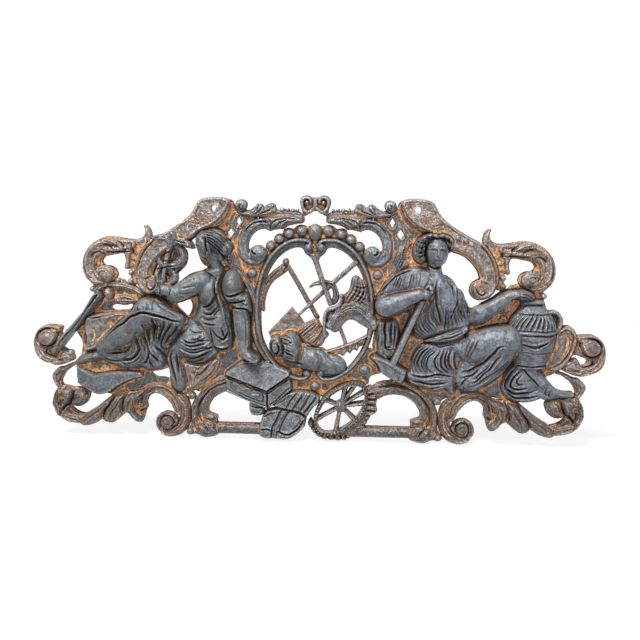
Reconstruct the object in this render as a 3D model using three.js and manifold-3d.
// Pierced cast-iron hearth piece in the Renaissance-revival manner: a strapwork frame of scrolls round an
// oval of tools, with a seated figure of Commerce on the left and one of Industry on the right.
// Millimetres, +Z up. The back lies in the plane y = 0 and the relief faces -Y. The origin is midway
// between the two screw holes. Outlines are [x, z] points read along each cast element.
import * as THREE from 'three';
import { mergeVertices } from 'three/addons/utils/BufferGeometryUtils.js';
import Module from 'manifold-3d';

// ---------------------------------------------------------------- driving dimensions, mm
const overallWidth = 773; // from one end volute to the other
const overallHeight = 332; // from the crest to the foot of the lower scrolls
const gap = 0.3; // clearance between neighbouring elements
const chordError = 1.3; // how far a facet may leave its curve
const facetError = 0.05; // how far a cut edge may be straightened
const weld = 0.002; // corners closer than this are one corner
const webDepth = 6; // background plate that carries the relief
const skirtDepth = 8; // thickness at the drafted foot of a scroll
const bandDepth = 15; // face of the scroll bands
const bracketDepth = 20; // face of the two screwed brackets
const ringDepth = 14; // crest of the oval ring
const ringWidth = 4.8; // width of that crest
const toolStep = 5; // thickness of each of the crossing tools
const screwHole = 8.6; // diameter of the hole in each bracket
const screwSpacing = 270; // between the hole centres
const draperyDepth = 20; // general face of the clothing
const barHalfHeight = 8; // bottom rail, half of its height
const barDepth = 12; // bottom rail, front of its round face
const figureBack = webDepth + gap; // plane on which the figures lie
const chestBack = skirtDepth + gap; // plane on which the chest lies, over the ring's foot
const drawnWidth = 773.3; // width to which the outlines below are drawn
const drawnHeight = 340.9; // height to which they are drawn
const wide = overallWidth / drawnWidth;
const high = overallHeight / drawnHeight;
const farAway = 1000; // a size beyond every element

// ---------------------------------------------------------------- colours
const iron = { color: 0x4a4d52, roughness: 0.62, metalness: 0.85 };
const wornIron = { color: 0x6b5a4f, roughness: 0.7, metalness: 0.7 };
const rust = { color: 0x9a5a2c, roughness: 0.9, metalness: 0.2 };

// ---------------------------------------------------------------- solids and outlines
const wasm = await Module();
wasm.setup();

/** A closed geometry with its shared corners merged, as a solid that can be joined and cut. */
function solid(geometry) {
  geometry.deleteAttribute('normal');
  geometry.deleteAttribute('uv');
  const merged = mergeVertices(geometry, weld);
  return new wasm.Manifold(new wasm.Mesh({
    numProp: 3,
    vertProperties: new Float32Array(merged.attributes.position.array),
    triVerts: new Uint32Array(merged.index.array),
  }));
}

/** Drops the points of a run that lie within the chord error of the line past them. */
function thin(points) {
  const first = points[0];
  const last = points[points.length - 1];
  const chord = new THREE.Line3(first, last);
  const foot = new THREE.Vector3();
  let worst = 0;
  let at = 0;
  for (let i = 1; i < points.length - 1; i++) {
    const nearest = first.distanceTo(last) > 0 ? chord.closestPointToPoint(points[i], true, foot) : first;
    const off = nearest.distanceTo(points[i]);
    if (off > worst) [worst, at] = [off, i];
  }
  if (worst <= chordError) return [first, last];
  return [...thin(points.slice(0, at + 1)), ...thin(points.slice(at)).slice(1)];
}

/** A smooth curve through [x, z] points, as few chords as the chord error allows. */
function curve(points, closed = false) {
  const corners = points.map(([x, z]) => new THREE.Vector3(x, z, 0));
  const spline = new THREE.CatmullRomCurve3(corners, closed, 'centripetal');
  return thin(spline.getPoints(points.length * 6));
}

/** A closed outline: one run is smooth all round, several runs are smooth and meet at corners. */
function outline(...runs) {
  const path = runs.length === 1 ? curve(runs[0], true) : runs.flatMap((run) => curve(run));
  const spaced = path.filter((p, i) => p.distanceTo(path[(i + 1) % path.length]) > 0.05);
  return spaced.map((p) => [p.x, p.y]);
}

/** A strip of the given width, which may taper, along a smooth line. */
function strip(points, startWidth, endWidth = startWidth) {
  const line = curve(points);
  const sides = [[], []];
  line.forEach((p, i) => {
    const along = line[Math.min(i + 1, line.length - 1)].clone().sub(line[Math.max(i - 1, 0)]).normalize();
    const half = THREE.MathUtils.lerp(startWidth, endWidth, i / (line.length - 1)) / 2;
    sides[0].push([p.x - along.y * half, p.y + along.x * half]);
    sides[1].push([p.x + along.y * half, p.y - along.x * half]);
  });
  return [...sides[0], ...sides[1].reverse()];
}

/** The outline moved outwards by a distance, corner by corner. */
function grown(points, by) {
  const ring = points.map(([x, z]) => new THREE.Vector2(x, z));
  if (!THREE.ShapeUtils.isClockWise(ring)) ring.reverse();
  if (by === 0) return ring;
  return ring.map((p, i) => {
    const before = p.clone().sub(ring[(i + ring.length - 1) % ring.length]).normalize();
    const after = ring[(i + 1) % ring.length].clone().sub(p).normalize();
    const out = new THREE.Vector2(-before.y - after.y, before.x + after.x);
    if (out.length() < 0.6) return p.clone();
    return p.clone().addScaledVector(out, (2 * by) / out.lengthSq());
  });
}

const flip = (points, side) => (side > 0 ? points : points.map(([x, z]) => [-x, z]));

/** A flat-faced layer of an element, from one depth in front of the wall to another. */
function layer(points, back, front, grow = 0) {
  const start = back - grow;
  const shape = new THREE.Shape(grown(points, grow));
  const depth = front + grow - start;
  const geometry = new THREE.ExtrudeGeometry(shape, { depth, bevelEnabled: false });
  return solid(geometry.rotateX(Math.PI / 2).translate(0, -start, 0));
}

/** A round boss standing on the wall plane: a short cylinder of height base under a dome. */
function stud([x, z], radiusX, radiusZ, base, dome, grow = 0, sides = 8) {
  const profile = [[0, -grow], [1, -grow], [1, base], [0.72, base + dome * 0.72], [0, base + dome + grow]];
  const points = profile.map(([r, y]) => new THREE.Vector2(r, y));
  const geometry = new THREE.LatheGeometry(points, sides).rotateX(Math.PI);
  return solid(geometry.scale(radiusX + grow, 1, radiusZ + grow).translate(x, 0, z));
}

/** An egg-shaped swelling with its middle at [x, z] and depth, flattened by its three radii. */
function egg([x, z], depth, radiusX, radiusY, radiusZ, grow = 0, sides = 10) {
  const geometry = new THREE.SphereGeometry(1, sides, sides / 2);
  geometry.rotateX(Math.PI / 2).scale(radiusX + grow, radiusY + grow, radiusZ + grow);
  return solid(geometry.translate(x, -depth, z));
}

/** A tapering round limb with dome ends, from [x, z, depth, radius] to [x, z, depth, radius]. */
function limb([x0, z0, depth0, radius0], [x1, z1, depth1, radius1], grow = 0, sides = 8) {
  const from = new THREE.Vector3(x0, -depth0, z0);
  const along = new THREE.Vector3(x1, -depth1, z1).sub(from);
  const [r0, r1, length] = [radius0 + grow, radius1 + grow, along.length()];
  const profile = [[0, -r0], [r0 * 0.7, -r0 * 0.7], [r0, 0], [r1, length], [r1 * 0.7, length + r1 * 0.7],
    [0, length + r1]];
  const geometry = new THREE.LatheGeometry(profile.map(([r, y]) => new THREE.Vector2(r, y)), sides);
  const turn = new THREE.Quaternion().setFromUnitVectors(new THREE.Vector3(0, 1, 0), along.normalize());
  return solid(geometry.applyQuaternion(turn).translate(from.x, from.y, from.z));
}

const join = (solids) => solids.reduce((whole, one) => whole.add(one));

/** What of a solid lies in front of a depth. */
function inFrontOf(depth, whole) {
  const behind = new THREE.BoxGeometry(farAway, farAway, farAway).translate(0, farAway / 2 - depth, 0);
  return whole.subtract(solid(behind));
}

// Elements are listed from the front to the back of the relief. Each is cut by the ones before it,
// grown by the clearance, so that what lies over an element sinks into it.
const elements = [];
const element = (name, finish, make) => elements.push({ name, finish, make });
const sides = [['right', 1], ['left', -1]];

// ---------------------------------------------------------------- Industry, the right-hand figure
const industryHead = [160, -54];

element('industry_head', iron, (g) => inFrontOf(figureBack - g, join([
  egg(industryHead, 24, 15.5, 17, 21.5, g),
  egg([150, -48], 18, 21, 14, 19, g),
  egg([138, -60], 14, 9, 9, 12, g),
  limb([156, -66, 16, 9], [158, -84, 15, 9.5], g),
])));

element('industry_forearm', iron, (g) => inFrontOf(figureBack - g, join([
  limb([94, -130, 25, 12.5], [138, -113, 27, 6.8], g),
  egg([147, -112, 0], 29, 9, 8, 8.5, g),
  egg([92, -124], 20, 10, 13, 11, g),
])));

element('sledge_hammer', iron, (g) => join([
  limb([142, -123, 25, 4], [106, -209, 24, 4], g),
  layer(outline([[76, -201], [82, -196.5]], [[82, -196.5], [96, -202], [110, -209], [125, -218.5]],
    [[125, -218.5], [122, -228], [118, -237]], [[118, -237], [104, -230], [90, -221]],
    [[90, -221], [87, -213], [82, -206], [76, -201]]), figureBack, 26, g),
]));

element('industry_urn_arm', iron, (g) => inFrontOf(figureBack - g, join([
  limb([217, -142, 17, 11.5], [250, -118, 20, 7.5], g),
  limb([250, -118, 20, 7.5], [262, -110.5, 22, 5.2], g),
  egg([274, -112], 23, 15, 7, 6, g),
])));

element('industry_knee', iron, (g) => inFrontOf(figureBack - g, join([
  layer(outline([[203, -165], [220, -158.5], [236, -154], [250, -151.5], [262, -154.5], [271, -161.5],
    [276.5, -171], [276.5, -181], [270, -195], [262, -208], [256, -217], [246, -228], [234, -237.5],
    [218, -244], [203, -247.5], [192, -242], [186, -228], [190, -212], [196, -196], [196, -178]]),
  figureBack, draperyDepth, g),
  limb([212, -185, 18, 19], [254, -172, 20, 18], g),
  limb([256, -174, 20, 17], [214, -228, 15, 14], g),
])));

element('industry_bodice', iron, (g) => inFrontOf(figureBack - g, join([
  layer(outline([[144, -77], [166, -84], [177, -92], [187, -102.5], [197, -114], [203, -125], [207, -140],
    [208, -155], [203, -160], [188, -163], [172, -167], [158, -171], [144, -175], [134, -172], [129, -163],
    [131, -150], [124, -138], [112, -143], [96, -146], [85, -140], [83.5, -124], [88, -110], [96, -96],
    [106, -86], [120, -79.5], [134, -77]]), figureBack, draperyDepth, g),
  egg([178, -120], 16, 24, 14, 32, g),
  egg([140, -104], 14, 34, 13, 24, g),
  layer(outline([[148, -181], [146, -175], [158, -171], [175, -166], [190, -161.5], [204, -158], [205, -163],
    [196, -169], [186, -174.5], [170, -178.5]]), figureBack, 23, g),
])));

element('industry_sleeve', iron, (g) => layer(outline([[84, -151], [95, -149.5], [108, -149], [113, -158],
  [114, -172], [112, -186], [107, -200], [98, -203.5], [88, -199.5], [84.5, -186], [83.5, -168]]),
figureBack, 17, g));

element('industry_lap', iron, (g) => join([
  layer(outline([[146, -181], [170, -178], [186, -174], [198, -168], [206, -172], [204, -190], [198, -205],
    [192, -220], [190, -236], [190, -250.5], [182, -250], [178, -244], [168, -247.5], [157, -246.5],
    [145, -242], [134, -239.5], [126, -233], [122, -223], [129, -216], [130, -203], [135, -190]]),
  figureBack, draperyDepth - 2, g),
  inFrontOf(figureBack - g, egg([165, -205], 12, 30, 12, 26, g)),
]));

element('industry_hem', iron, (g) => inFrontOf(figureBack - g, join([
  layer(outline([[277, -188], [282, -199], [289, -210], [298, -220], [309, -229.5], [320, -237.5],
    [330, -243], [342, -245.5], [348, -247.5], [345, -251], [332, -252], [322, -255], [312, -257],
    [304, -254.5], [296, -257.5], [284, -260], [270, -259], [259, -254.5], [252, -246], [249, -237],
    [256, -226], [262, -215], [268, -203]]), figureBack, draperyDepth - 4, g),
  egg([274, -228], 12, 22, 12, 24, g),
  limb([318, -246, 13, 7], [338, -248.5, 12, 4.5], g),
])));

// urn with its gadrooned shoulder, on a round foot, and its loop handle
const urnAxis = 288;
element('urn', iron, (g) => {
  const profile = [[0, -118.5], [14, -118.5], [15, -121], [14.5, -123.5], [15.5, -127], [20.5, -134.5],
    [26.5, -141], [30.5, -150], [32, -160], [31.5, -172], [28.5, -186.5], [24.5, -197], [20.5, -206],
    [21, -211], [0, -211]];
  const spun = new THREE.LatheGeometry(profile.map(([r, z]) => new THREE.Vector2(r ? r + g : 0, z)).reverse(), 14);
  const body = solid(spun.rotateX(Math.PI / 2).scale(1, 0.72, 1).translate(urnAxis, -9, 0));
  const handle = strip([[20, -138], [25.5, -134.8], [32, -136.5], [36.5, -143], [37, -151.5],
    [32, -160.5], [26, -163]].map(([r, z]) => [urnAxis + r, z]), 4);
  return inFrontOf(figureBack - g, join([body, layer(handle, figureBack, 15, g)]));
});

element('dish', wornIron, (g) => layer(outline([[324, -158], [331, -153.6], [338, -154], [344.5, -159],
  [348, -168], [347.5, -179], [343, -192], [336, -204], [329, -212.5], [321, -215.5], [312, -213.5],
  [306, -209], [308, -199], [314, -187], [317, -176], [319, -165]]), figureBack, 13, g));

// ---------------------------------------------------------------- Commerce, the left-hand figure
const commerceHead = [-146, -49];

element('commerce_head', iron, (g) => inFrontOf(figureBack - g, join([
  egg(commerceHead, 21, 13.5, 15, 20.5, g),
  egg([-134, -44], 18, 20, 15, 17.5, g),
  egg([-119, -53], 15, 10, 10, 10, g),
  limb([-138, -62, 15, 8], [-133, -80, 15, 9], g),
])));

element('caduceus', iron, (g) => join([
  layer(outline([[-208, -51], [-200, -52], [-192, -50], [-184, -51], [-177, -54], [-172.5, -60],
    [-172, -70], [-175, -79], [-181, -86], [-186, -91], [-185.5, -100], [-188, -107.5], [-196, -107],
    [-205, -109], [-210, -106], [-214, -99], [-214.5, -92], [-210.5, -85], [-207, -80], [-210.5, -73],
    [-214, -64], [-212, -56]]), 3, 17, g),
  layer(outline([[-219, -41], [-211, -37], [-202, -36], [-195, -37], [-191, -32], [-186.5, -33],
    [-184, -39], [-177, -41], [-168, -43.5], [-163.5, -49], [-162, -56], [-171, -54.5], [-180, -52],
    [-187, -54], [-193, -60], [-198, -49], [-208, -46.5], [-216, -45.5]]), 10, 24, g),
  limb([-190, -36, 20, 3], [-204, -108, 15, 3.4], g, 6),
]));

element('commerce_caduceus_arm', iron, (g) => inFrontOf(figureBack - g, join([
  limb([-150, -101, 17, 14.5], [-184, -117, 19, 11.5], g),
  limb([-186, -118, 19, 11], [-201, -112.5, 19, 8], g),
  egg([-208.5, -114], 19, 8, 8, 8, g),
])));

element('commerce_chest_arm', iron, (g) => inFrontOf(figureBack - g, join([
  egg([-109.5, -106], 18, 14.5, 15, 23.5, g),
  layer(outline([[-121, -113], [-110, -117], [-97, -114.5], [-89, -119], [-84.5, -132], [-84, -142],
    [-90, -139], [-100, -136.5], [-112, -132.5], [-119, -124]]), figureBack, 25, g),
  limb([-99, -139, 19, 10], [-92.5, -194, 24, 6.2], g),
  limb([-91, -199, 26, 6.5], [-78, -206, 29, 5.5], g),
])));

element('commerce_bodice', iron, (g) => inFrontOf(figureBack - g, join([
  layer(outline([[-146, -84], [-136, -79], [-125, -79], [-121, -88], [-124, -102], [-123, -116],
    [-118, -132], [-112, -150], [-108.5, -166], [-108.5, -180], [-111, -192], [-122, -197.5],
    [-131, -196], [-139, -188], [-147, -176], [-156, -163], [-166, -154], [-160, -146], [-157, -134],
    [-157, -120], [-154, -106], [-150, -94]]), figureBack, draperyDepth, g),
  egg([-141, -112], 17, 14, 14, 22, g),
  egg([-128, -160], 14, 18, 12, 28, g),
])));

element('commerce_knees', iron, (g) => inFrontOf(figureBack - g, join([
  layer(outline([[-204, -124], [-214, -121.5], [-226, -121], [-236, -125], [-243, -132.5], [-250, -144],
    [-258, -155], [-267, -166], [-277, -178], [-290, -193], [-301, -200.5], [-313, -203.5], [-322, -209],
    [-328, -217], [-318, -220.5], [-304, -216.5], [-290, -213.5], [-278, -218.5], [-266, -223.5],
    [-250, -225.5], [-236, -223], [-226, -227.5], [-214, -226], [-205, -222], [-200, -208],
    [-196, -192], [-184, -176], [-170, -164], [-166, -155], [-176, -149.5], [-186, -139.5], [-196, -130]]),
  figureBack, draperyDepth - 2, g),
  limb([-186, -156, 16, 13], [-226, -141, 18, 16.5], g),
  limb([-229, -147, 18, 16.5], [-288, -196, 14, 11], g),
  limb([-200, -170, 15, 14], [-222, -205, 12, 11], g),
])));

element('commerce_seat_folds', iron, (g) => inFrontOf(figureBack - g, join([
  layer(outline([[-172, -163], [-160, -160], [-151, -168], [-143, -178.5], [-137, -188], [-130, -197],
    [-134, -205.5], [-144, -211.5], [-157, -215], [-170, -212.5], [-181, -207], [-182, -216],
    [-177, -232], [-174.5, -246], [-180, -256], [-190, -254], [-195.5, -243], [-197.5, -226],
    [-202, -208], [-199, -195], [-189, -182], [-180, -170]]), figureBack, draperyDepth - 3, g),
  egg([-160, -187], 12, 27, 14, 24, g),
])));

element('commerce_hem', wornIron, (g) => layer(outline([[-134, -207.5], [-128, -211], [-130, -222],
  [-138, -233], [-149, -242.5], [-160, -249.5], [-169.5, -252], [-172.5, -240], [-175.5, -228],
  [-178, -214], [-170, -214.5], [-157, -217], [-144, -213.5]]), figureBack, 12, g));

element('stone_block', iron, (g) => join([
  layer(outline([[-327.5, -222], [-326, -246]], [[-326, -246], [-312, -253.5], [-299, -259.5]],
    [[-299, -259.5], [-288, -261.5], [-274, -258]], [[-274, -258], [-262, -249], [-250, -239], [-236, -231]],
    [[-236, -231], [-252, -228], [-280, -222.5], [-300, -217.5], [-316, -221.5], [-327.5, -222]]),
  figureBack, 14, g),
  layer(outline([[-299, -228], [-299, -259.5]], [[-299, -259.5], [-288, -261.5], [-274, -258]],
    [[-274, -258], [-262, -249], [-250, -239], [-240, -232]],
    [[-240, -232], [-260, -227.5], [-280, -224], [-299, -228]]), figureBack, 20, g),
]));

element('bale', wornIron, (g) => layer(outline([[-311, -152.5], [-300, -148.5], [-280, -146.3],
  [-262, -144.5], [-248, -145]], [[-248, -145], [-256, -156], [-268, -170], [-282, -186], [-294, -196]],
[[-294, -196], [-304, -199.5], [-313, -200.5], [-316.3, -186], [-315.5, -168], [-311, -152.5]]),
figureBack, 15, g));

element('oar', iron, (g) => join([
  layer(outline([[-299.5, -119], [-292, -116.5], [-287.5, -124]], [[-287.5, -124], [-304, -145],
    [-322, -166], [-336, -184], [-349, -201]], [[-349, -201], [-357, -205.5], [-361, -200]],
  [[-361, -200], [-345, -179.5], [-328, -161], [-312, -140], [-299.5, -119]]), 14, 22, g),
  layer(outline([[-297, -120], [-288, -120], [-292, -133], [-306, -150], [-318, -163], [-322, -156],
    [-310, -139]]), figureBack, 15, g),
]));

element('leaf_rail', wornIron, (g) => join([
  layer(strip([[-298, -117], [-291, -109.5], [-280, -106.8], [-268, -106.4], [-256, -108],
    [-245, -112], [-233, -118.5]], 6), figureBack, 13, g),
  layer(outline([[-270, -126], [-260, -121], [-248, -123], [-238, -129], [-246, -132.5], [-258, -134],
    [-268, -132.5]]), figureBack, 12, g),
]));

// ---------------------------------------------------------------- trophies in and below the oval
element('chest', iron, (g) => join([
  layer(outline([[-120, -226.5], [-97, -208.5]], [[-97, -208.5], [-60, -210]], [[-60, -210], [-31, -222.5]],
    [[-31, -222.5], [-29, -249]], [[-29, -249], [-61, -277]], [[-61, -277], [-119, -255]],
    [[-119, -255], [-120, -226.5]]), chestBack, 22, g),
  layer(outline([[-120, -226.5], [-97, -208.5]], [[-97, -208.5], [-60, -210]], [[-60, -210], [-31, -222.5]],
    [[-31, -222.5], [-31, -229]], [[-31, -229], [-62, -250.5]], [[-62, -250.5], [-120, -230]],
    [[-120, -230], [-120, -226.5]]), chestBack, 27, g),
  layer(outline([[-87, -264], [-70, -270]], [[-70, -270], [-66, -279], [-70, -286.5], [-77, -288],
    [-84.5, -286], [-87.5, -279], [-87, -264]]), chestBack, 18, g),
]));

element('book_lower', iron, (g) => layer(outline([[-73.5, -303], [-70, -290], [-66, -281], [-58, -277]],
  [[-58, -277], [-46, -275.5], [-36, -277.5]], [[-36, -277.5], [-24, -279], [-15, -282.5], [-8.5, -288]],
  [[-8.5, -288], [-11, -301]], [[-11, -301], [-20, -310.5], [-30, -317.5]],
  [[-30, -317.5], [-40, -319.5], [-52, -318]], [[-52, -318], [-64, -318.5], [-73, -315]],
  [[-73, -315], [-73.5, -303]]), 0, 24, g));

element('book_upper', iron, (g) => layer(outline([[-56, -273], [-48, -263], [-38, -256], [-28, -251.5],
  [-19, -249.5]], [[-19, -249.5], [-8, -251], [2, -253.5], [10, -258]], [[10, -258], [8, -266], [1, -273],
  [-4, -280], [-8, -287]], [[-8, -287], [-15, -282], [-25, -278.5], [-36, -277]],
[[-36, -277], [-46, -275], [-56, -273]]), 0, 19, g));

// gear wheel seen askew: a rim with eight spokes, its toothed edge below and to the right
const gearHub = [37, -271];
element('gear_wheel', iron, (g) => {
  const rimOut = outline([[1, -298], [1, -285], [5, -273], [12, -261], [22, -250.5], [34, -242.5],
    [46, -237.5], [57, -235.5], [67, -238], [72.5, -245.5], [74, -257], [72.5, -269], [68, -281],
    [60.5, -292], [50.5, -301], [38, -308.5], [25, -312.8], [13, -312.5], [4.5, -307.5]]);
  const rimIn = outline([[6, -297], [7, -285], [11, -274.5], [18, -263.5], [27, -254], [38, -247],
    [48, -242.5], [57, -241.5], [65, -243.5], [68.6, -250], [69, -259], [67, -269.5], [62.5, -279.5],
    [55.5, -289], [46.5, -297], [36, -303.5], [25, -307.5], [14.5, -307.5], [9, -303.5]]);
  const teeth = outline([[72, -243], [78, -241.5], [84, -250], [86.5, -259], [85.5, -269], [86.5, -279],
    [79, -284], [74.5, -292], [70, -299.5], [62, -306], [54, -312], [48, -318.5], [37, -320.8],
    [24, -320.5], [11, -318.3], [3, -313.5], [-3, -306], [-7.5, -297], [-3, -289], [2, -300], [8, -309],
    [22, -311], [38, -306], [52, -297], [63, -284], [70, -268], [71.5, -254]]);
  const ends = [[44, -243], [57.5, -239], [69, -250], [69, -266.5], [57, -291], [31, -307], [5, -291],
    [14, -262]];
  const spokes = ends.map(([x, z]) => layer(strip([gearHub, [(x + gearHub[0]) / 2, (z + gearHub[1]) / 2],
    [x, z]], 5, 4.4), 0, 17 - g, g));
  const rim = layer(rimOut, 0, 20, g).subtract(layer(rimIn, -1, 40, -g));
  return join([rim, layer(teeth, 0, 12, g), stud(gearHub, 8, 8, 14, 7, g), ...spokes]);
});

// oval ring in two halves, each curling inwards at its top and foot
for (const [hand, side] of sides) {
  element(`oval_${hand}`, iron, (g) => join([
    layer(flip(outline([[3.2, -58], [3, -50], [5, -43.5], [10, -40], [20, -38.6], [30, -39.6], [40, -43.6],
      [50, -50], [60, -60], [66, -70], [71, -80.5], [75, -92], [78, -105], [80.3, -120], [81.3, -140],
      [80.6, -160], [77.8, -175], [72.8, -190], [65.5, -203.5], [56, -216], [46, -225.5], [36, -231.8],
      [26, -235.8], [17, -237.2], [9, -235], [4.2, -230], [3, -225], [5, -221], [9, -219.6], [13, -221.5],
      [15, -226], [14, -230]], [[14, -230], [20, -230.5], [28, -229], [36, -225], [44, -218.5],
      [52, -209.5], [60, -198], [66, -186.5], [69.5, -177], [71.3, -166], [72, -150], [71.5, -130],
      [69, -112], [65.5, -97], [62, -87.5], [57, -78], [50, -68], [40, -59], [30, -53.8], [22, -52.3],
      [16.5, -54], [13.5, -59.5], [9, -63.8], [4, -67], [0.2, -69]], [[0.2, -69], [0.2, -61.5]],
    [[0.2, -61.5], [3.2, -58]]), side), 0, skirtDepth - 1, g),
    layer(flip(strip([[10, -52], [6, -47.5], [9, -43.5], [20, -42], [30, -43], [39, -47], [47.5, -53],
      [56.5, -62.5], [62.5, -72], [67.4, -82], [71.3, -93], [74.3, -105.5], [76.5, -120], [77.5, -140],
      [76.8, -159.5], [74, -174], [69, -188.5], [61.9, -201.5], [53, -213.5], [43.3, -222.8], [34, -228.7],
      [25, -232.5], [17, -233.7], [10, -231.5], [7, -227], [9, -223.5]], ringWidth), side), 0, ringDepth, g),
    stud([side * 8.6, -51.5], 5.4, 5.6, 8, 8, g),
    stud([side * 9.4, -225.5], 5.5, 5.6, 8, 8, g),
  ]));
}

element('sack', iron, (g) => inFrontOf(-g, join([
  layer(outline([[-51, -173.5], [-44, -172], [-38, -168], [-30, -169], [-22, -175], [-16, -182],
    [-8, -187.5], [2, -189], [12, -190.5], [20, -196], [30, -201.5], [39, -205.5], [44, -213],
    [44.5, -222], [34, -227], [20, -231], [8, -228], [-4, -222], [-18, -221], [-32, -219], [-40, -213],
    [-44, -204], [-52, -203], [-58, -197], [-61, -188], [-58, -179]]), 0, 14, g),
  egg([-8, -206], 8, 36, 20, 20, g),
  egg([-32, -190], 8, 16, 22, 20, g),
  egg([-50.5, -188], 12, 9.5, 12, 14.5, g),
])));

element('hanging_rod', iron, (g) => join([
  layer(strip([[-1, -63], [8, -90], [21.5, -128]], 6.6), toolStep * 2 + gap * 2, toolStep * 3 + gap, g),
  layer(outline([[-6, -60], [6, -60], [5, -70], [-3, -70]]), skirtDepth + gap, toolStep * 3, g),
]));

element('pick', iron, (g) => join([
  layer(strip([[55, -71.5], [14, -110.5], [-29, -153]], 6.6), toolStep + gap, toolStep * 2 + gap, g),
  layer(outline([[-8, -106], [-3, -101], [3, -98], [11, -96], [20, -97], [27, -101], [31, -109],
    [33, -118], [31.5, -126], [26, -130.5], [21, -128], [24, -120], [24, -111], [20, -104.5],
    [14, -102], [7, -104], [0, -104.5], [-5, -107.5]]), toolStep + gap, toolStep * 2 + gap, g),
]));

element('scythe', iron, (g) => join([
  layer(strip([[-39.5, -71], [-24, -99], [-8, -127.5], [4, -148]], 6.6), 0, toolStep, g),
  layer(outline([[-37, -84], [-42, -74.5], [-50, -79.5], [-58, -86], [-66, -96], [-71, -109],
    [-73.5, -124], [-72, -139], [-67.5, -141.5], [-67, -130], [-65, -119], [-61, -108], [-54, -98],
    [-45, -91.5]]), 0, 9, g),
]));

element('sheaf', wornIron, (g) => join([
  layer(outline([[51, -91], [57.5, -89.5], [62, -94], [68, -97.5], [72, -107], [74.5, -120], [78.5, -136],
    [82, -150], [81.5, -164], [72, -162], [62, -156.5], [54, -151.5], [47, -150.5], [41, -155],
    [36, -162], [31, -168], [25, -168], [19, -162], [16.3, -153], [16, -143], [23, -137.5], [31, -133.5],
    [37, -127], [37.5, -117], [43.5, -112.5], [47, -106], [48.5, -97]]), 0, 14, g),
  layer(strip([[22, -156], [30, -143], [42, -133], [56, -131], [70, -140], [79, -155]], 12, 16), 0, 20, g),
]));

element('strap', iron, (g) => layer(strip([[36, -117], [35.5, -127], [28, -134.5], [17, -138.5],
  [13.5, -146], [13.5, -160], [14, -173]], 4.6), 0, 16, g));

element('rake', wornIron, (g) => join([
  layer(strip([[18, -197], [33, -192.5], [48, -187], [60, -180], [70, -172.5]], 9, 5), 0, 8, g),
  ...[[33, -193], [44, -189], [52, -186], [62, -181]].map(([x, z]) =>
    layer(strip([[x, z], [x + 0.7, z - 6], [x + 1, z - 13]], 5.4, 4), 0, 8, g)),
  layer(strip([[35, -163], [39.5, -175], [44, -188]], 5), 0, 8, g),
]));

element('brush', wornIron, (g) => layer(outline([[-15, -157.5], [-7, -153.5], [1, -149.5], [6, -151.5],
  [10.5, -160], [17, -167], [20, -172], [15, -179], [11, -187], [4, -189], [-6, -187], [-15, -182],
  [-20, -175], [-24, -171], [-21, -163.5]]), 0, 11, g));

element('board', wornIron, (g) => layer(outline([[-62.5, -170], [-30, -133.5]], [[-30, -133.5],
  [-25, -141], [-16.5, -150.5]], [[-16.5, -150.5], [-14, -157], [-20, -164], [-26, -174]],
[[-26, -174], [-42, -180], [-56, -182], [-62.5, -170]]), 0, toolStep, g));

// ---------------------------------------------------------------- the frame, the same on both sides
const bracketShoulder = [[113, 12], [122, 14.6], [131, 15], [141, 14.4], [150, 12.4], [155.5, 9], [159, 3],
  [163, -4], [168, -10.5], [176, -17.5], [186, -24.5], [200, -33], [212, -39.5], [222, -45.5], [230, -55],
  [236, -66], [240, -77], [242, -88], [241, -98], [237.5, -108], [232, -115.5]];
const bracketFoot = [[232, -115.5], [225, -120], [217, -121], [210, -117.5], [205.5, -111], [205, -104],
  [208, -97], [213, -93], [217, -91], [216, -85], [212, -77], [206, -70], [199, -63.5], [190, -59],
  [181, -56], [173, -50], [165, -43], [155, -36], [148, -32.5], [138, -29], [128, -24.5], [119, -17],
  [113, -8], [110, 1], [109.5, 8], [113, 12]];
const bracketFace = [[232, -115.5], [226, -118.6], [219, -118], [213, -114.5], [209.5, -108], [210.5, -101],
  [214.5, -96], [220, -93.5], [222.3, -90], [221, -84], [217, -77], [211, -69], [203, -61.5], [195, -56],
  [187, -53], [178, -50], [168, -43], [157, -34.5], [149, -29.5], [141, -26], [133, -21.5], [125.5, -15],
  [119, -7], [115, 1], [112.8, 8], [113, 12]];

for (const [hand, side] of sides) {
  element(`bracket_${hand}`, wornIron, (g) => {
    const plate = join([
      layer(flip(outline(bracketShoulder, bracketFoot), side), 0, skirtDepth + 2, g),
      layer(flip(outline(bracketShoulder, bracketFace), side), 0, bracketDepth, g),
    ]);
    const hole = new THREE.CylinderGeometry(screwHole / 2 - g, screwHole / 2 - g, 3 * bracketDepth, 24);
    hole.translate(side * screwSpacing / 2, 0, 0).scale(1 / wide, 1, 1 / high);
    return plate.subtract(solid(hole));
  });
}

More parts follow.
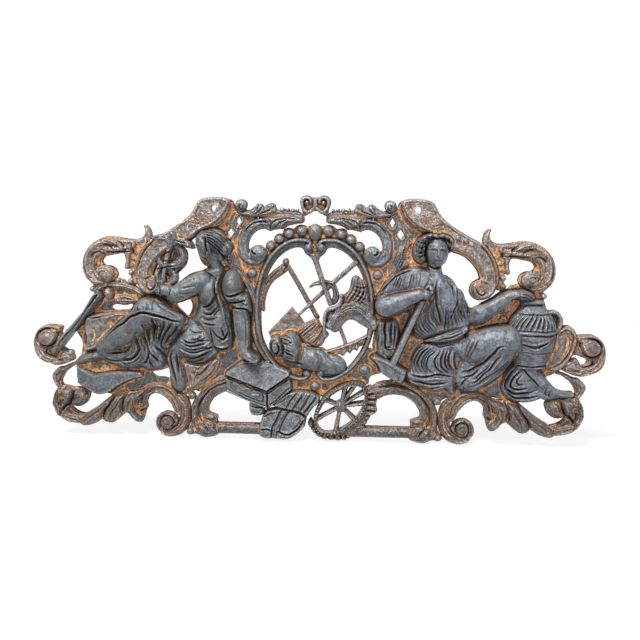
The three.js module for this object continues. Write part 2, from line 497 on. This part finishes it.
for (const [hand, side] of sides) {
  element(`upper_scroll_${hand}`, iron, (g) => join([
    layer(flip(outline([[58, -13], [66, -12], [75, -12.6], [84, -15.5], [92, -21], [98.5, -28.5], [102.6, -38],
      [104, -48.5], [103, -58], [99.5, -66.5], [94, -72.3], [87, -76], [79, -77.3], [72.5, -75.5],
      [67.5, -70.5], [64.8, -63.5], [66, -56.5], [70, -51.4], [76, -49.4], [81.5, -51.3], [84.8, -55.5],
      [86.8, -58]], [[86.8, -58], [89, -54], [89.2, -49], [88, -43.5], [85, -37.5], [80, -32], [74, -28.6],
      [68, -27.6], [63, -29.3], [59.5, -31], [58, -24], [58, -13]]), side), 0, skirtDepth, g),
    layer(flip(strip([[61, -18], [72, -18], [82, -22], [90, -30], [95.3, -41], [96.5, -52], [93.5, -63],
      [86, -69.5], [77, -69.5]], 9.5, 11), side), 0, bandDepth, g),
    stud([side * 76.2, -60.8], 11.2, 11.2, 10, 9, g, 10),
  ]));

  element(`side_scroll_${hand}`, wornIron, (g) => join([
    layer(flip(outline([[220.5, -44], [220.4, -38], [221.6, -31], [225, -26], [229, -23.8], [232, -25.6],
      [230.2, -29], [229.5, -33], [231, -38], [235, -41.5], [241, -43.4], [250, -43.2], [260, -41.7],
      [270, -40], [280, -40], [290, -42.5], [300, -48], [308, -55.5], [314, -65], [317, -77],
      [316.5, -88], [313, -97], [307, -104], [302, -109], [306, -113], [303, -118], [298.5, -116],
      [297, -110.5], [290, -110], [282, -107.5], [275, -104], [269.5, -98], [268, -91], [271.5, -84],
      [278, -80.5], [285, -79.8], [289, -75], [286, -69], [278, -66.5], [270, -65], [262, -63.6],
      [257.5, -65], [255.5, -70], [256, -77], [257.8, -82.5], [255, -85.3], [250.5, -84.5], [252, -90],
      [250, -96], [253, -101.5], [250.5, -106], [246, -107.5], [238, -104], [239.5, -92], [237.5, -78],
      [232.5, -64], [226, -54.5]]), side), 0, skirtDepth, g),
    layer(flip(strip([[245, -51], [256, -51.5], [268, -52], [281, -52.8], [293, -57.5], [301.5, -66.5],
      [304, -78], [302, -89], [296.5, -97.5], [288, -100]], 14, 15), side), 0, bandDepth, g),
    stud([side * 284.5, -92], 13.2, 12, 12, 8, g, 10),
    ...[[240.8, -63.5, 2.5], [244.6, -71.5, 2.8], [247, -79.5, 3], [248.6, -90, 4.3], [249.2, -101.4, 4.3],
      [302.4, -113.6, 4]].map(([x, z, r]) => stud([side * x, z], r, r, skirtDepth, r, g, 6)),
  ]));

  element(`end_volute_${hand}`, wornIron, (g) => join([
    layer(flip(outline([[346, -167], [355, -165], [363, -165], [371, -167], [378.5, -172], [384, -181],
      [386.8, -192], [386, -203], [382, -212], [375, -217.6], [366, -220.6], [357, -223], [347, -221.5],
      [338, -218], [330.5, -214], [331, -207.5], [337, -202], [343, -198], [348, -197], [351.5, -201],
      [355, -206.5], [359.5, -206], [363, -202], [361.5, -198.6], [355, -195.8], [349, -193.4],
      [344.8, -192.6], [344.5, -186], [348, -176]]), side), 0, skirtDepth, g),
    layer(flip(strip([[354, -170.5], [366, -170], [375.5, -176.5], [380, -188], [379.5, -200], [373.5, -209.5],
      [362, -214.8], [350, -214.5], [338, -212]], 8, 9), side), 0, bandDepth, g),
    stud([side * 366, -181.8], 14.6, 12.8, 12, 12, g, 10),
  ]));

  element(`lower_scroll_${hand}`, wornIron, (g) => join([
    layer(flip(outline([[195.5, -266.8], [189, -269], [185, -273.5], [183.3, -279.5], [184.5, -286],
      [185.2, -294], [186, -297.5]], [[186, -297.5], [188.5, -292], [193, -287.8], [199, -285.3],
      [205.5, -286], [211.5, -289], [215.6, -294], [217.5, -301], [216.5, -308], [213, -314.5],
      [207, -320], [200, -322.4], [190, -321], [181, -317], [174.5, -310.5], [170, -302], [168.4, -292],
      [168.8, -281], [171, -270], [176, -262], [183, -258.3], [190, -261.8], [195.5, -266.8]]), side),
    0, skirtDepth, g),
    layer(flip(strip([[184, -263.5], [177.5, -273], [175.3, -285], [177.5, -298], [184.5, -308.5],
      [195, -314.5], [205, -313]], 7, 10), side), 0, bandDepth, g),
    stud([side * 203, -300], 12.2, 13, 11, 8, g, 10),
  ]));

  element(`foot_scroll_${hand}`, wornIron, (g) => {
    const rail = new THREE.Shape().moveTo(0, -barHalfHeight);
    rail.lineTo(barDepth * 0.55, -barHalfHeight).quadraticCurveTo(barDepth, -barHalfHeight, barDepth, 0);
    rail.quadraticCurveTo(barDepth, barHalfHeight, barDepth * 0.55, barHalfHeight).lineTo(0, barHalfHeight);
    const [near, far, height] = [50, 131, -307.5];
    const bar = new THREE.ExtrudeGeometry(rail, { depth: far - near + 2 * g, bevelEnabled: false, curveSegments: 3 });
    bar.rotateZ(Math.PI / 2).rotateY(Math.PI / 2).rotateX(Math.PI);
    bar.computeBoundingBox();
    const box = bar.boundingBox;
    bar.translate((side > 0 ? near : -far) - g - box.min.x, -box.max.y, height - (box.max.z + box.min.z) / 2);
    return join([
      layer(flip(outline([[81, -241], [90, -236], [104, -234], [117, -236], [124, -235], [131, -240],
        [141, -246.5], [151, -253.5], [159.5, -261], [164.5, -268], [168, -277], [168.2, -290],
        [168.5, -300], [171, -307], [175, -313], [174, -316.5], [169, -318.8], [163, -317.3], [157, -319],
        [152, -321.6], [141, -321], [133, -318.3], [128.5, -312.5], [128.3, -306], [131, -300.5],
        [132, -296], [130.8, -291.5], [133.5, -288.3], [139, -287.8], [143.5, -286], [145, -280.5],
        [143.5, -273.5], [139, -267.5], [131, -260.8], [122, -256], [112, -254.3], [102, -255],
        [94, -257.6], [87, -261.5], [82, -258], [80, -250]]), side), 0, skirtDepth, g),
      layer(flip(strip([[86, -250], [98, -243], [112, -241.5], [127, -244.5], [141, -253], [150.5, -264],
        [155, -278], [153.5, -291], [147, -301.5], [139, -309]], 7, 12), side), 0, bandDepth, g),
      stud([side * 169, -312.8], 5.2, 5.2, 8, 6, g),
      solid(bar),
    ]);
  });

  element(`acanthus_${hand}`, wornIron, (g) => join([
    layer(flip(outline([[205, -262.5], [210, -258.8], [218, -255.8], [227, -252.8], [236, -253.8],
      [243, -256.8], [252, -257.2], [258, -254.5], [266, -257.5], [275, -262], [283, -269.5],
      [291, -276.5], [299, -283], [308, -289.3], [316, -291.3], [325, -289.5], [332, -285.5], [336, -280.5],
      [328, -281.3], [320, -279.6], [314, -275], [310.4, -267], [309.6, -260], [314, -256.8],
      [324, -253.2], [334, -253.6], [341, -251.5], [348, -250], [349.3, -244], [346.6, -238], [343, -232],
      [337, -227], [330, -222], [322, -219.5], [322, -215], [330, -217], [338, -220], [346, -224],
      [354, -226.5], [359, -231], [363, -237], [362, -244], [358, -250.5], [353.5, -256], [357, -264],
      [360, -274], [359.5, -282], [356, -290], [350, -297], [342, -301.5], [334, -304.3], [326, -305.5],
      [321.5, -309.5], [313, -309], [303, -305.5], [295, -300.5], [291.5, -299], [290.5, -301.5],
      [287, -302], [284.5, -304.2], [279, -304.4], [272, -300], [265.5, -294.5], [260, -290],
      [257, -290.2], [253.5, -293.5], [249, -298.5], [242.5, -301.6], [238, -302], [234.5, -296.5],
      [232.5, -289.5], [231.5, -285], [229, -280.5], [229.3, -271], [226.5, -265], [220.5, -260.8],
      [214, -260.2]]), side), 0, skirtDepth, g),
    layer(flip(outline([[262, -259], [272, -264], [282, -273], [292, -283], [303, -291.5], [314, -297.5],
      [321, -303], [318, -307.5], [308, -305], [297, -299], [288, -291], [279, -280], [270, -270]]), side),
    0, bandDepth, g),
    layer(flip(outline([[252, -258.5], [260, -262], [266, -270], [272, -281], [278, -291], [285, -300],
      [281, -303], [273, -298], [265, -290], [259, -281], [254, -271]]), side), 0, bandDepth, g),
    layer(flip(outline([[232, -256], [241, -259], [248, -265], [251, -274], [254, -283], [251, -292],
      [244, -298.5], [238.5, -300], [234.5, -292], [238, -284], [239, -275], [236, -266]]), side),
    0, bandDepth, g),
    stud([side * 345.5, -266], 12.5, 14.5, 10, 10, g, 10),
    stud([side * 321.5, -267.5], 11.5, 13, 10, 8, g, 10),
    layer(flip(strip([[352, -283], [345, -292], [334, -297.5], [322, -298.5]], 9, 11), side), 0, bandDepth, g),
    layer(flip(strip([[350, -229], [357, -236], [356, -245], [352, -252]], 7, 5), side), 0, bandDepth, g),
  ]));

  element(`trellis_${hand}`, rust, (g) => {
    const plate = layer(flip(outline([[78, -10.5], [90, -10.6], [98, -9.2], [104, -5.5], [107.5, 0.5],
      [109.5, 8], [112.5, 9], [114.5, -4], [120, -13], [128, -20], [138, -26], [150, -31], [158, -38],
      [158, -60], [150, -78], [134, -82], [120, -82], [108, -86], [98, -93], [91, -102], [85, -113],
      [81, -120], [78, -106], [74, -92], [70, -80], [65.5, -70], [66, -62], [76, -60], [90, -62],
      [96, -45], [90, -28], [80, -18]]), side), 0, webDepth, g);
    const slots = [[102, -17.6, 3.4, 6.6], [113, -33, 4.6, 6.4]].map(([x, z, halfWide, halfHigh]) =>
      layer(outline([[side * x - halfWide, z], [side * x, z + halfHigh], [side * x + halfWide, z],
        [side * x, z - halfHigh]]), -1, 3 * webDepth, -g));
    return join([plate, stud([side * 83.8, -88.3], 6.6, 6.6, webDepth, 7, g)]).subtract(join(slots));
  });
}

element('top_rail', wornIron, (g) => {
  const half = [[0, -2.8], [4, -3.2], [9, -6.5], [13.5, -9.5], [17, -7.6], [17.6, -1], [19.6, 4],
    [20.7, 10.5], [18, 16], [13, 18.4], [8, 17.8], [4, 15.6]];
  const mirrored = half.slice(1).reverse().map(([x, z]) => [-x, z]);
  const wings = sides.map(([, side]) => join([
    layer(flip(outline([[15.5, -8], [18.5, -5], [22, -3.4], [30, -2.8], [40, -1.8], [50, -1], [54.5, 4],
      [58.5, 8], [63, 6.5], [67, 3], [69.5, 0.8], [71.5, 5], [75, 7.4], [78.5, 5.5], [83, 1.5], [90, -1.6],
      [93, -1], [91, 3.5], [91.3, 8], [95, 12], [100, 12.3], [105, 9.8], [107.5, 4], [106.6, -2],
      [103, -7], [97, -10], [89, -11.3], [80, -11.5], [72, -12.5], [66, -13], [62, -16], [60.5, -23],
      [60, -30], [54, -28.8], [47, -27.8], [42, -27.6], [38, -23], [33, -21.5], [26, -20], [18, -19.6],
      [14.5, -17]]), side), 0, skirtDepth, g),
    layer(flip(outline([[19, -6.5], [32, -5], [46, -4], [58, 0], [64, -2], [76, 0], [84, -4], [96, -4],
      [102, -6.5], [92, -9.5], [78, -10], [66, -11], [56, -15], [46, -18.5], [32, -17.5], [19, -16]]), side),
    0, bandDepth - 2, g),
    stud([side * 98.6, 4.4], 7.6, 7.4, 9, 7, g),
    stud([side * 13, 9.4], 7.2, 8, 9, 7, g),
    ...[[24, 1.9], [30, 2.1], [36.6, 2.5], [44, 2.9]].map(([x, r]) =>
      stud([side * x, -2.6 + x / 30], r, r, skirtDepth, r, g, 6)),
  ]));
  return join([
    ...wings,
    layer(outline([...half, [0, 16.2], ...mirrored]), 0, skirtDepth, g),
    layer(outline([[-4, -1], [4, -1]], [[4, -1], [3.2, 14.6]], [[3.2, 14.6], [-3.2, 14.6]],
      [[-3.2, 14.6], [-4, -1]]), 0, bandDepth - 2, g),
  ]);
});

element('bead_rail', rust, (g) => {
  const half = [[7, -22.5], [12, -22.6], [19, -20.9], [25.5, -23.5], [29, -26.6], [36, -25.3],
    [42, -28.5], [44, -33.5], [49, -33.4], [54.5, -38], [56, -43], [61, -43.3], [65.9, -48.5],
    [66.5, -53.5], [69, -59], [64, -62], [60, -58.5], [50, -48.5], [40, -42], [30, -38], [20, -37],
    [10, -38.5], [4.5, -41.5], [2.4, -48], [2.4, -59]];
  const mirrored = half.slice().reverse().map(([x, z]) => [-x, z]);
  const beads = [[18.8, -29, 7.3], [36, -32.8, 6.8], [48.2, -40.5, 6.3], [59.6, -50, 6.2]];
  return join([
    layer(outline([[0, -19.6], ...half, [0, -61], ...mirrored]), 0, webDepth, g),
    stud([0, -31.2], 8.6, 11.4, webDepth, 10, g, 10),
    ...beads.flatMap(([x, z, r]) => [1, -1].map((s) => stud([s * x, z], r, r, webDepth, 8, g))),
  ]);
});

element('oval_foot', rust, (g) => join([
  layer(outline([[-36, -224], [-24, -215], [-8, -217], [2, -219.5], [14, -233], [28, -233], [44, -225],
    [56, -213], [66, -199], [72, -190], [82, -192], [86, -206], [92, -218], [90, -224.5], [82, -226.5],
    [76, -230.5], [74, -240], [60, -241], [46, -242], [32, -248], [20, -256], [8, -259], [-6, -255],
    [-20, -253], [-36, -252]]), 0, webDepth, g),
  stud([2, -243.8], 6.6, 6.8, webDepth, 8, g),
  stud([68.5, -220], 7.5, 7, webDepth, 6, g),
]));

// ---------------------------------------------------------------- background behind each figure
element('ground_right', rust, (g) => layer(outline([[82, -112], [90, -100], [100, -90], [112, -83],
  [130, -79], [150, -79], [167, -87], [180, -98], [194, -113], [202, -126], [211, -131.5], [222, -123.5],
  [235, -116.5], [246, -108], [256, -103.5], [261, -98.5], [268, -100], [280, -104], [290, -107.5],
  [300, -112], [304, -121], [308.5, -132], [318, -132], [327, -140], [328, -152], [337, -153],
  [346, -161], [349, -170], [347, -190], [338, -202], [332, -212], [324, -217], [317, -221.5],
  [310, -224.5], [309, -228.5], [318, -236], [330, -243], [346, -244], [349, -249], [334, -253],
  [318, -256.5], [304, -255], [290, -258.5], [278, -260.5], [262, -257], [250, -256.5], [236, -254],
  [222, -254], [211, -258.5], [204, -264], [195, -267], [188, -260.5], [181, -257.5], [174, -260],
  [166, -268], [158, -258], [146, -248], [132, -239], [120, -232], [112, -215], [100, -206], [86, -198],
  [79, -190], [80, -170], [81, -150], [81, -130]]), 0, webDepth, g));

element('ground_left', rust, (g) => {
  const plate = layer(outline([[-300, -117], [-296, -108], [-285, -103.6], [-270, -102], [-262, -98.5],
    [-256, -103.5], [-246, -107], [-238, -113], [-226, -119], [-214, -122], [-206, -117], [-197, -106],
    [-188, -106], [-178, -97], [-166, -89], [-152, -85], [-140, -79], [-120, -79], [-106, -83],
    [-96, -92], [-88, -104], [-81, -118], [-79, -140], [-79, -160], [-76, -176], [-71, -190],
    [-64, -202], [-56, -212], [-40, -224], [-32, -226], [-30, -247], [-60, -275], [-88, -265], [-116, -254],
    [-121, -240], [-134, -241],
    [-147, -249], [-158, -256.5], [-161, -254.5], [-169, -258], [-176, -261], [-183, -257.5],
    [-190, -261], [-197, -266], [-206, -261], [-216, -256], [-229, -253], [-240, -256], [-252, -257],
    [-262, -255], [-274, -259], [-288, -262], [-300, -260], [-312, -254], [-326.5, -246],
    [-328, -232], [-328, -221], [-322, -210], [-319.5, -198], [-320, -186], [-326, -176], [-330, -166],
    [-322, -154], [-312, -138]]), 0, webDepth, g);
  const holes = [
    [[-187, -133], [-178, -129.5], [-169, -126.5], [-166, -132], [-166.5, -140], [-172, -149], [-179, -143]],
    [[-277.5, -139], [-271, -134.5], [-258, -136], [-248, -134], [-250, -140], [-262, -142], [-272, -142.5]],
    [[-222, -230], [-208, -226.5], [-199, -223.5], [-194, -229], [-196, -238], [-206, -236], [-216, -235.5]],
  ].map((points) => layer(outline(points), -1, 3 * webDepth, -g));
  return plate.subtract(join(holes));
});

// ---------------------------------------------------------------- cutting and naming
/** The largest body of a cut element, which drops the crumbs that a cut leaves. */
function mainBody(cut) {
  const bodies = cut.decompose();
  return bodies.sort((a, b) => b.volume() - a.volume())[0];
}

/** The surface of a solid as a three.js geometry. */
function surface(body) {
  const { vertProperties, triVerts } = body.getMesh();
  const geometry = new THREE.BufferGeometry();
  geometry.setAttribute('position', new THREE.BufferAttribute(vertProperties, 3));
  geometry.setIndex(new THREE.BufferAttribute(triVerts, 1));
  return geometry;
}

const near = (a, b) => a.min.every((low, i) => low <= b.max[i] && b.min[i] <= a.max[i]);

const group = new THREE.Group();
const cutters = [];
for (const { name, finish, make } of elements) {
  const stretched = (grow) => make(grow).scale([wide, 1, high]);
  let body = stretched(0);
  const reach = body.boundingBox();
  for (const cutter of cutters) {
    if (near(reach, cutter.boundingBox())) body = body.subtract(cutter);
  }
  cutters.push(stretched(gap));
  const welded = solid(surface(mainBody(body).simplify(facetError)));
  const geometry = surface(mainBody(welded));
  geometry.computeVertexNormals();
  const mesh = new THREE.Mesh(geometry, new THREE.MeshStandardMaterial({ ...finish, flatShading: true }));
  mesh.name = name;
  group.add(mesh);
}

export default group;
